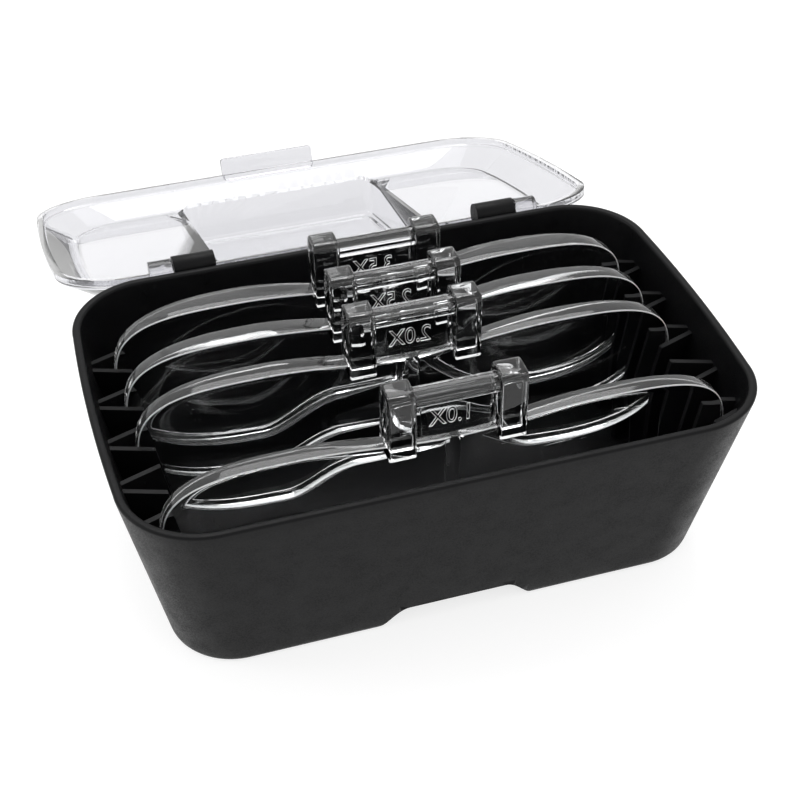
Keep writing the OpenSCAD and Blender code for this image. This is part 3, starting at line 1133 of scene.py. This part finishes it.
@dataclass
class ClearLid:
    """The clear lid, as one moulding: lip, sloped panels, raised middle, tab and knuckles."""

    outline: CaseOutline
    rim: float
    plate_top: float
    clip_low: Vector
    clip_high: Vector
    row_back: float
    wall: float = 1.4
    gap: float = 0.2
    lip: float = 1.6
    slope_in: float = 7.0
    clear: float = 2.0
    raised_side: float = 13.4
    raised_in: float = 1.5
    raised_clear: float = 0.6
    raised_round: float = 4.0
    lip_bend: float = 0.7
    slope_bend: float = 2.6
    raised_bend: float = 1.6
    bend_steps: int = 6
    slope_reach: float = 2.5
    raised_reach: float = 5.0
    raised_least: float = 0.8
    raised_steps: int = 8
    hollow_low: float = 1.0
    pocket_low: float = 0.5
    tab_width: float = 23.5
    tab_drop: float = 3.6
    tab_gap: float = 0.35
    tab_round: float = 0.9
    tab_edge: float = 0.3
    root_in: float = 0.8
    root_thin: float = 0.1
    knuckle_width: float = 4.6
    knuckle_gap: float = 0.3
    pin_radius: float = 1.2
    pin_length: float = 4.6
    pin_root: float = 0.4
    bar_steps: int = 40
    bar_edge: float = 0.15
    web_edge: float = 0.25
    web_far: float = 0.6
    web_near: float = 0.85
    web_low: float = 0.5
    soft: float = 0.35
    round_from: float = 32.0
    sharp_from: float = 40.0

    def plan(self, z: float, inset: float) -> Ring:
        """A ring of the lid at a height above the rim, moved in by an inset."""
        radius = max(self.outline.radius - inset / 2, self.raised_round)
        return self.outline.ring(self.rim + z, inset, inset, radius)

    def dome(self, name: str, inset: float, low: float, top: float) -> bpy.types.Object:
        """The filled lip and sloped panels, with soft creases.

        Args:
            name: The solid's name.
            inset: How far it is in from the lid's outside.
            low: Where it starts above the rim.
            top: Height of its top above the rim.

        Returns:
            The solid.
        """
        shelf = self.gap + self.lip
        corners = [(inset, low), (inset, shelf), (inset + self.slope_in, top),
                   (inset + self.slope_in * self.slope_reach, top)]
        line = rounded_profile(corners, [self.lip_bend, self.slope_bend], self.bend_steps)
        return loft(name, [self.plan(z, away) for away, z in line])

    def raised(self, name: str, inset: float, low: float, top: float) -> bpy.types.Object:
        """The filled raised middle, with round corners and a soft top edge.

        Args:
            name: The solid's name.
            inset: How far it is in from the lid's outside.
            low: Where it starts above the rim.
            top: Height of its top above the rim.

        Returns:
            The solid.
        """
        half = self.clip_high.x + self.raised_side - inset
        room = self.raised_clear + self.raised_in + self.wall - inset
        front, back = self.clip_low.y - room, self.row_back + room
        corners = [(0.0, low), (self.raised_in, top), (self.raised_in * self.raised_reach, top)]
        rings = []
        for away, z in rounded_profile(corners, [self.raised_bend], self.bend_steps):
            flat = rounded_box(2 * (half - away), back - front - 2 * away,
                               max(self.raised_round - inset - away / 2, self.raised_least),
                               self.raised_steps)
            rings.append([(x, y + (front + back) / 2, self.rim + z) for x, y in flat])
        return loft(name, rings)

    def tab(self) -> bpy.types.Object:
        """The latch tab, which hangs from the front of the lip when the lid is shut.

        Returns:
            The solid.
        """
        near = self.outline.half_dep + self.tab_gap
        flat = rounded_box(self.tab_width, self.tab_drop + self.gap + self.lip, self.tab_round)
        mid = self.rim + (self.gap + self.lip - self.tab_drop) / 2
        return slab("tab", flat, near, near + self.wall, self.tab_edge, upright(0, mid))

    def tab_root(self) -> bpy.types.Object:
        """The bridge between the lip and the tab.

        Returns:
            The solid.
        """
        near, thin = self.outline.half_dep, self.root_thin
        flat = rounded_box(self.tab_width - self.root_in, self.lip - thin, self.tab_edge)
        mid = self.rim + self.gap + self.lip / 2
        return slab("tab_root", flat, near - self.wall / 2, near + self.tab_gap + self.wall / 2,
                    thin, upright(0, mid))

    def knuckle(self, side: Side, pivot: Vector, barrel_end: float) -> list[bpy.types.Object]:
        """A knuckle with its web and its pin, for the closed lid.

        Args:
            side: Which of the two knuckles it is.
            pivot: A point on the hinge axis.
            barrel_end: Where the case's barrel ends.

        Returns:
            The solids.
        """
        width, gap = self.knuckle_width, self.knuckle_gap
        radius = pivot.y - self.outline.half_dep - gap
        turn = Matrix(((0, 0, side, 0), (1, 0, 0, 0), (0, side, 0, 0), (0, 0, 0, 1)))

        def round_bar(size: float, low: float, high: float) -> bpy.types.Object:
            """A round bar on the hinge axis, of a radius and between two places along X."""
            flat = round_section(pivot.y, side * pivot.z, size, self.bar_steps)
            return slab("bar", flat, low, high, self.bar_edge, turn)

        def block(near: float, far: float, low: float, high: float) -> bpy.types.Object:
            """A soft-edged block as wide as the knuckle.

            Args:
                near: Its place along Y that is nearer to the case.
                far: Its other place along Y.
                low: Height of its underside.
                high: Height of its top.

            Returns:
                The solid.
            """
            flat = rounded_box(width - gap, high - low, self.tab_edge)
            return slab("web", flat, -far, -near, self.web_edge,
                        upright(side * (start + width / 2), (low + high) / 2))

        start = barrel_end + gap
        top = self.rim + self.gap + self.lip
        far = pivot.y + radius * self.web_far
        return [round_bar(radius, start, start + width),
                round_bar(self.pin_radius, start - gap - self.pin_length,
                          start + self.pin_root),
                block(self.outline.half_dep - self.wall / 2, far, top - self.lip, top),
                block(pivot.y - radius * self.web_near, far, pivot.z - radius * self.web_low,
                      top)]

    def build(self, finish: bpy.types.Material) -> None:
        """Makes the lid shut, swings it open and puts it in place of its CAD nodes.

        Args:
            finish: Its material.
        """
        hinge = next(j for j in frame["joints"] if j["name"] == "lid_hinge")
        pivot = Vector(hinge["pos_m"]) / MM
        opened = math.radians(hinge["range_deg"][0])
        low_z, top_z = self.gap, self.plate_top - self.rim + self.clear + self.wall
        peak = self.clip_high.z - self.rim + self.raised_clear + self.wall
        lid = self.dome("clear_lid", 0.0, low_z, top_z)
        raised = self.raised("raised", 0.0, self.gap + self.lip, peak)
        combine(lid, [raised, self.tab(), self.tab_root()], Join.ADD)
        hollow = self.dome("hollow", self.wall, low_z - self.hollow_low, top_z - self.wall)
        pocket = self.raised("pocket", self.wall, self.gap + self.lip - self.pocket_low,
                             peak - self.wall)
        combine(lid, [combine(hollow, [pocket], Join.ADD)], Join.CUT)
        ends = {Side.LEFT: -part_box("hinge_barrel_left")[0].x / MM,
                Side.RIGHT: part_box("hinge_barrel_right")[1].x / MM}
        for side, end in ends.items():
            combine(lid, self.knuckle(side, pivot, end), Join.ADD)
        finish_edges(lid, self.soft, self.round_from)
        settle(lid)
        swing = (Matrix.Translation(pivot * MM) @ Matrix.Rotation(opened, 4, "X")
                 @ Matrix.Translation(-pivot * MM))
        lid.data.transform(swing)
        shade(lid, self.sharp_from)
        dress(lid, [finish], Slot.LID, "lid", "lid_cover", "lid_latch_tab",
              "lid_knuckle_left", "lid_knuckle_right")


# --- The studio -------------------------------------------------------------------------------


@dataclass
class Softbox:
    """A square lamp that points at the middle of the object."""

    name: str
    place: tuple[float, float, float]
    size: float
    power: float
    aim: tuple[float, float, float] = (0.0, 0.02, 0.02)

    def build(self) -> None:
        """Makes the lamp."""
        data = bpy.data.lights.new(self.name, "AREA")
        data.shape = "SQUARE"
        data.size = self.size
        data.energy = self.power
        lamp = bpy.data.objects.new(self.name, data)
        lamp.location = self.place
        way = Vector(self.aim) - Vector(self.place)
        lamp.rotation_euler = way.to_track_quat("-Z", "Y").to_euler()
        bpy.context.scene.collection.objects.link(lamp)


@dataclass
class Studio:
    """White paper, soft lamps, a pale surround and the camera."""

    azimuth: float = -17.22
    elevation: float = 39.42
    roll: float = 0.3
    distance: float = 0.2822
    target: tuple[float, float, float] = (-0.00566, -0.01397, 0.040)
    lens: float = 70.48
    sensor: float = 36.0
    nearest: float = 0.01
    surround: float = 1.0
    paper_half: float = 3.0
    lamps: tuple[Softbox, ...] = (
        Softbox("overhead", (0.10, 0.45, 0.85), 0.60, 3.6),
        Softbox("left_strip", (-0.8, 0.25, 0.45), 0.30, 1.2),
        Softbox("front_fill", (0.5, -1.0, 0.9), 0.5, 0.6),
    )

    def build_camera(self) -> None:
        """Makes the camera and looks through it."""
        a, e = math.radians(self.azimuth), math.radians(self.elevation)
        back = Vector((math.sin(a) * math.cos(e), -math.cos(a) * math.cos(e), math.sin(e)))
        side = (-back).cross(Vector((0, 0, 1))).normalized()
        turned = Matrix.Rotation(math.radians(self.roll), 3, -back)
        side = turned @ side
        up = back.cross(side)
        data = bpy.data.cameras.new("camera")
        data.lens = self.lens
        data.sensor_width = self.sensor
        data.clip_start = self.nearest
        camera = bpy.data.objects.new("camera", data)
        turn = Matrix((side, up, back)).transposed().to_4x4()
        camera.matrix_world = Matrix.Translation(
            Vector(self.target) + back * self.distance) @ turn
        bpy.context.scene.collection.objects.link(camera)
        bpy.context.scene.camera = camera

    def build_paper(self) -> None:
        """Lays the paper under the object."""
        h = self.paper_half
        mesh = bpy.data.meshes.new("paper")
        mesh.from_pydata([(-h, -h, 0), (h, -h, 0), (h, h, 0), (-h, h, 0)], [], [(0, 1, 2, 3)])
        paper = bpy.data.objects.new("paper", mesh)
        mesh.materials.append(StudioPaper().build())
        bpy.context.scene.collection.objects.link(paper)

    def build(self) -> None:
        """Makes the whole studio."""
        self.build_camera()
        self.build_paper()
        for lamp in self.lamps:
            lamp.build()
        world = bpy.data.worlds.new("surround")
        world.use_nodes = True
        sky = world.node_tree.nodes["Background"]
        sky.inputs["Color"].default_value = (1.0, 1.0, 1.0, 1.0)
        sky.inputs["Strength"].default_value = self.surround
        bpy.context.scene.world = world
        bpy.context.scene.view_settings.view_transform = "Standard"


# --- Build ------------------------------------------------------------------------------------


def main() -> None:
    """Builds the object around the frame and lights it."""
    logging.basicConfig(level=logging.INFO, format="%(name)s: %(message)s")
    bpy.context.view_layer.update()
    shell_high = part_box("case_shell")[1] / MM
    outline = CaseOutline(shell_high.x, shell_high.y)
    satin = SatinPlastic().build()
    plate_finishes = [ClearPlastic("plate_acrylic_clear").build(), MouldedEdge().build(),
                      MouldedEdge("digit_frost", haze=0.5, roughness=(0.25, 0.45)).build()]
    lid_clear = ClearPlastic("lid_clear_gloss", tint=(0.66, 0.66, 0.685), smudged=0.10).build()

    Studio().build()
    CaseBody(outline, shell_high.z).build(satin)
    CaseFittings().build(satin)
    plates = [LensPlate(name, number, radius) for name, number, radius in PLATES]
    for plate in plates:
        plate.build(plate_finishes)
    lid_outline = CaseOutline(shell_high.x, shell_high.y, side_steps=LID_STEPS,
                              corner_steps=LID_STEPS)
    front, rear = plates[0], plates[-1]
    ClearLid(lid_outline, shell_high.z, front.high.z, front.clip_low, front.clip_high,
             rear.clip_high.y).build(lid_clear)


if __name__ == "__main__":
    main()
